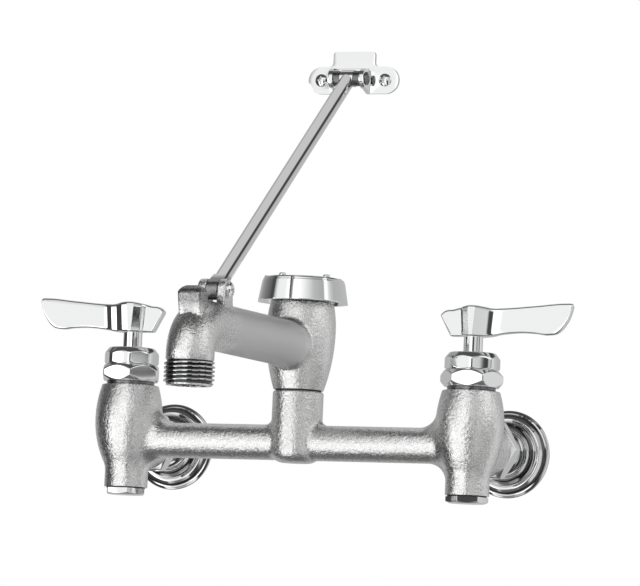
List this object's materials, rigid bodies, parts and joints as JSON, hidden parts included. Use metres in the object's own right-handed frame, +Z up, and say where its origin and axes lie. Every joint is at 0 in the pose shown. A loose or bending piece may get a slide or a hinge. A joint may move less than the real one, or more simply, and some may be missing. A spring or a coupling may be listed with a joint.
{
  "type": "commercial wall faucet",
  "caption": "Wall-mounted service-sink faucet with lever handles, a rigid vacuum-breaker spout with pail hook and hose thread, and a brace rod to a wall bracket.",
  "frame": {"origin": "on the finished wall, midway between the two supply inlets and at their height", "axes": "+X from the hot inlet to the cold inlet, to the right for someone who faces the wall; +Y into the wall; +Z up"},
  "size_m": [0.3176, 0.2419, 0.258],
  "materials": {
    "rough_chrome": "sand-cast surface under chrome plate, fine grain",
    "polished_chrome": "mirror-polished chrome plate",
    "brass": "machined yellow brass",
    "rubber": "moulded black rubber",
    "fibre": "pressed red fibre",
    "spring_wire": "stainless steel",
    "ceramic_white": "lapped alumina",
    "ceramic_dark": "lapped alumina",
    "white_plastic": "moulded acetal",
    "red_plastic": "plain moulded button",
    "blue_plastic": "plain moulded button"
  },
  "bodies": {
    "root": {"manifold_casting": "rough_chrome", "spout_casting": "rough_chrome", "riser_tube": "brass", "spout_joint_seal": "rubber", "vent_insert": "brass", "breaker_cap": "polished_chrome", "pivot_screw": "polished_chrome", "retaining_clip_hot": "spring_wire", "coupling_nut_hot": "polished_chrome", "coupling_washer_hot": "fibre", "inlet_shank_hot": "brass", "wall_flange_hot": "polished_chrome", "bonnet_hot": "polished_chrome", "packing_nut_hot": "polished_chrome", "packing_ring_hot": "rubber", "cartridge_body_hot": "brass", "seat_seal_hot": "rubber", "fixed_disc_hot": "ceramic_white", "bottom_plug_hot": "polished_chrome", "plug_gasket_hot": "rubber", "retaining_clip_cold": "spring_wire", "coupling_nut_cold": "polished_chrome", "coupling_washer_cold": "fibre", "inlet_shank_cold": "brass", "wall_flange_cold": "polished_chrome", "bonnet_cold": "polished_chrome", "packing_nut_cold": "polished_chrome", "packing_ring_cold": "rubber", "cartridge_body_cold": "brass", "seat_seal_cold": "rubber", "fixed_disc_cold": "ceramic_white", "bottom_plug_cold": "polished_chrome", "plug_gasket_cold": "rubber"},
    "hot_valve": {"moving_disc_hot": "ceramic_dark", "valve_stem_hot": "polished_chrome", "stem_seal_hot": "rubber", "lever_handle_hot": "polished_chrome", "handle_screw_hot": "spring_wire", "index_button_hot": "red_plastic"},
    "cold_valve": {"moving_disc_cold": "ceramic_dark", "valve_stem_cold": "polished_chrome", "stem_seal_cold": "rubber", "lever_handle_cold": "polished_chrome", "handle_screw_cold": "spring_wire", "index_button_cold": "blue_plastic"},
    "float": {"float_poppet": "white_plastic", "float_gasket": "rubber"},
    "brace_rod": {"brace_rod": "polished_chrome"},
    "bracket": {"wall_bracket": "polished_chrome", "bracket_pin": "polished_chrome", "pin_spacers": "polished_chrome", "bracket_screws": "polished_chrome"}
  },
  "joints": [
    {"name": "hot_handle_turn", "type": "hinge", "parent": "root", "child": "hot_valve", "pos_m": [-0.1016, -0.064, 0.05], "axis": [0, 0, 1], "range_deg": [0, 90]},
    {"name": "cold_handle_turn", "type": "hinge", "parent": "root", "child": "cold_valve", "pos_m": [0.1016, -0.064, 0.05], "axis": [0, 0, 1], "range_deg": [-90, 0]},
    {"name": "float_lift", "type": "slide", "parent": "root", "child": "float", "axis": [0, 0, 1], "range_m": [0, 0.004]},
    {"name": "brace_swing", "type": "hinge", "parent": "root", "child": "brace_rod", "pos_m": [0, -0.1873, 0.0727], "axis": [1, 0, 0], "range_deg": [0, 40]},
    {"name": "bracket_tilt", "type": "hinge", "parent": "brace_rod", "child": "bracket", "pos_m": [0, -0.0095, 0.2105], "axis": [1, 0, 0], "range_deg": [-40, 40]}
  ]
}
